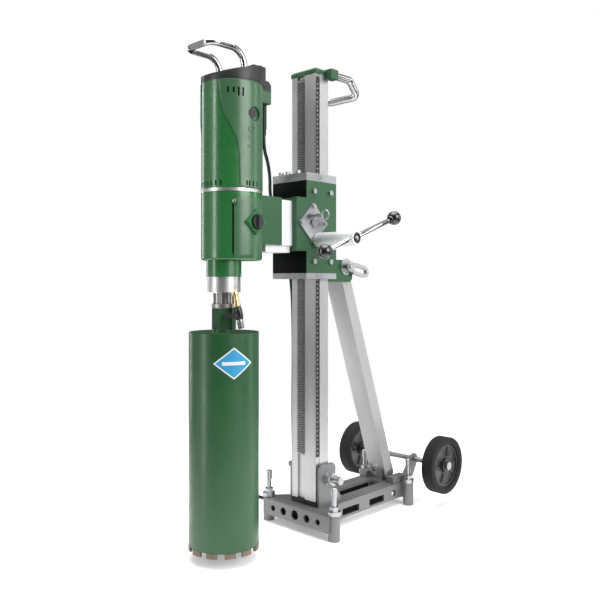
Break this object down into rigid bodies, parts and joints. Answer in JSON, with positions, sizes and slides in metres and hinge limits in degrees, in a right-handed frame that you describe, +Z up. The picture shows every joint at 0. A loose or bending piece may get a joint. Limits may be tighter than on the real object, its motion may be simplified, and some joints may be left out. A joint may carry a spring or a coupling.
{
  "type": "core drill rig",
  "caption": "Wheeled core drill stand with a tilting column, a hand-cranked carriage, a strut and an electric motor that turns a wide crown bit.",
  "frame": {"origin": "centre of the rig's bounding box in plan, at the floor", "axes": "+Z up the column; -Y towards the drill motor, +Y towards the wheels; +X towards the feed crank"},
  "size_m": [0.4774, 0.69, 0.969],
  "materials": {
    "green_paint": "gloss enamel",
    "bit_paint": "satin enamel",
    "column_aluminium": "satin anodised",
    "rack_steel": "machined",
    "bright_steel": "zinc plated",
    "plate_steel": "silver painted",
    "chrome": "polished",
    "cast_aluminium": "turned",
    "black_plastic": "moulded",
    "black_ball": "polished",
    "shoe_plastic": "plain",
    "tyre_rubber": "matt",
    "rim_plastic": "moulded",
    "cord_rubber": "smooth",
    "brass": "machined",
    "motor_iron": "varnished",
    "segment_metal": "sintered"
  },
  "bodies": {
    "base": {"base_frame": "plate_steel", "hinge_brackets": "plate_steel", "tilt_bolt": "bright_steel", "lock_nuts": "bright_steel", "strut_pin": "bright_steel", "axle": "bright_steel", "cord_lower": "cord_rubber", "cord_coil": "cord_rubber", "cord_plug": "black_plastic"},
    "wheel_left": {"rim_left": "rim_plastic", "tyre_left": "tyre_rubber"},
    "wheel_right": {"rim_right": "rim_plastic", "tyre_right": "tyre_rubber"},
    "column": {"column": "column_aluminium", "rack": "rack_steel", "ladder_strip": "black_plastic", "column_foot": "black_plastic", "top_cap": "green_paint", "carry_handle": "chrome"},
    "clamp": {"strut_clamp": "green_paint"},
    "strut": {"strut": "plate_steel", "clamp_bolt": "bright_steel"},
    "lever": {"clamp_lever": "bright_steel"},
    "carriage": {"carriage_housing": "green_paint", "end_plates": "bright_steel", "guide_shoes": "shoe_plastic", "carriage_bolts": "bright_steel", "pinion_flange": "bright_steel", "spacer": "cast_aluminium", "motor_bracket": "green_paint", "gearbox_housing": "green_paint", "nose_collar": "cast_aluminium", "motor_band": "cast_aluminium", "motor_housing": "green_paint", "motor_cap": "black_plastic", "stator": "motor_iron", "bearings": "bright_steel", "brush_holders": "black_plastic", "loop_handle": "chrome", "switch_box": "green_paint", "strain_relief": "cord_rubber", "water_valve": "brass", "cord_upper": "cord_rubber"},
    "pinion": {"pinion": "rack_steel"},
    "crank": {"crank": "cast_aluminium"},
    "bar": {"tommy_bar": "chrome"},
    "lock_pin": {"lock_pin": "bright_steel"},
    "gear_knob": {"gear_knob": "black_plastic"},
    "power_switch": {"power_switch": "black_plastic"},
    "valve_lever": {"valve_lever": "black_plastic"},
    "spindle": {"spindle": "bright_steel", "bit_barrel": "bit_paint", "bit_segments": "segment_metal"},
    "idler": {"idler": "rack_steel"},
    "armature": {"armature": "motor_iron"},
    "screw_front_left": {"level_screw_front_left": "bright_steel"},
    "screw_front_right": {"level_screw_front_right": "bright_steel"},
    "screw_rear_left": {"level_screw_rear_left": "bright_steel"},
    "screw_rear_right": {"level_screw_rear_right": "bright_steel"}
  },
  "joints": [
    {"name": "column_tilt", "type": "hinge", "parent": "base", "child": "column", "pos_m": [-0.00925, -0.03, 0.108], "axis": [-1, 0, 0], "range_deg": [0, 30]},
    {"name": "clamp_slide", "type": "slide", "parent": "column", "child": "clamp", "axis": [0, 0, 1], "range_m": [0, 0.13]},
    {"name": "strut_swing", "type": "hinge", "parent": "base", "child": "strut", "pos_m": [-0.00925, 0.21, 0.071], "axis": [-1, 0, 0], "range_deg": [0, 31.5]},
    {"name": "clamp_lever_turn", "type": "hinge", "parent": "strut", "child": "lever", "pos_m": [0.02875, 0.042, 0.554], "axis": [1, 0, 0], "range_deg": [0, 80]},
    {"name": "carriage_feed", "type": "slide", "parent": "column", "child": "carriage", "axis": [0, 0, 1], "range_m": [-0.38, 0.2], "deforming": ["cord_upper"]},
    {"name": "pinion_turn", "type": "hinge", "parent": "carriage", "child": "pinion", "pos_m": [-0.00925, -0.086, 0.641], "axis": [1, 0, 0], "range_deg": [-480, 910]},
    {"name": "crank_turn", "type": "hinge", "parent": "carriage", "child": "crank", "pos_m": [-0.00925, -0.07402, 0.60705], "axis": [1, 0, 0], "range_deg": [-1816, 956]},
    {"name": "bar_slide", "type": "slide", "parent": "crank", "child": "bar", "axis": [0, 0.9426, 0.3338], "range_m": [-0.11, 0.055]},
    {"name": "lock_pin_pull", "type": "slide", "parent": "carriage", "child": "lock_pin", "axis": [1, 0, 0], "range_m": [0, 0.01], "stiffness_N_per_m": 200, "springref_m": -0.01},
    {"name": "gear_knob_turn", "type": "hinge", "parent": "carriage", "child": "gear_knob", "pos_m": [0.05075, -0.253, 0.633], "axis": [1, 0, 0], "range_deg": [-45, 45]},
    {"name": "switch_press", "type": "slide", "parent": "carriage", "child": "power_switch", "axis": [0, -1, 0], "range_m": [0, 0.003], "stiffness_N_per_m": 400, "springref_m": -0.002},
    {"name": "valve_lever_turn", "type": "hinge", "parent": "carriage", "child": "valve_lever", "pos_m": [0.03705, -0.29, 0.459], "axis": [0, -1, 0], "range_deg": [0, 90]},
    {"name": "spindle_spin", "type": "hinge", "parent": "carriage", "child": "spindle", "pos_m": [-0.00925, -0.278, 0.56], "axis": [0, 0, 1], "continuous": true},
    {"name": "idler_spin", "type": "hinge", "parent": "carriage", "child": "idler", "pos_m": [0.0156, -0.25629, 0.64], "axis": [0, 0, 1], "continuous": true},
    {"name": "armature_spin", "type": "hinge", "parent": "carriage", "child": "armature", "pos_m": [-0.00925, -0.259, 0.76], "axis": [0, 0, 1], "continuous": true},
    {"name": "wheel_left_spin", "type": "hinge", "parent": "base", "child": "wheel_left", "pos_m": [-0.13325, 0.28, 0.0935], "axis": [1, 0, 0], "continuous": true},
    {"name": "wheel_right_spin", "type": "hinge", "parent": "base", "child": "wheel_right", "pos_m": [0.11475, 0.28, 0.0935], "axis": [1, 0, 0], "continuous": true},
    {"name": "level_front_left", "type": "slide", "parent": "base", "child": "screw_front_left", "axis": [0, 0, -1], "range_m": [0, 0.018]},
    {"name": "level_front_right", "type": "slide", "parent": "base", "child": "screw_front_right", "axis": [0, 0, -1], "range_m": [0, 0.018]},
    {"name": "level_rear_left", "type": "slide", "parent": "base", "child": "screw_rear_left", "axis": [0, 0, -1], "range_m": [0, 0.018]},
    {"name": "level_rear_right", "type": "slide", "parent": "base", "child": "screw_rear_right", "axis": [0, 0, -1], "range_m": [0, 0.018]}
  ],
  "couplings": [
    {"joint": "clamp_slide", "follows": "column_tilt", "m_per_rad": 0.2455},
    {"joint": "strut_swing", "follows": "column_tilt", "ratio": 1.03},
    {"joint": "pinion_turn", "follows": "carriage_feed", "rad_per_m": -41.667},
    {"joint": "crank_turn", "follows": "carriage_feed", "rad_per_m": 83.333},
    {"joint": "idler_spin", "follows": "spindle_spin", "ratio": -2.6667},
    {"joint": "armature_spin", "follows": "spindle_spin", "ratio": 8}
  ]
}
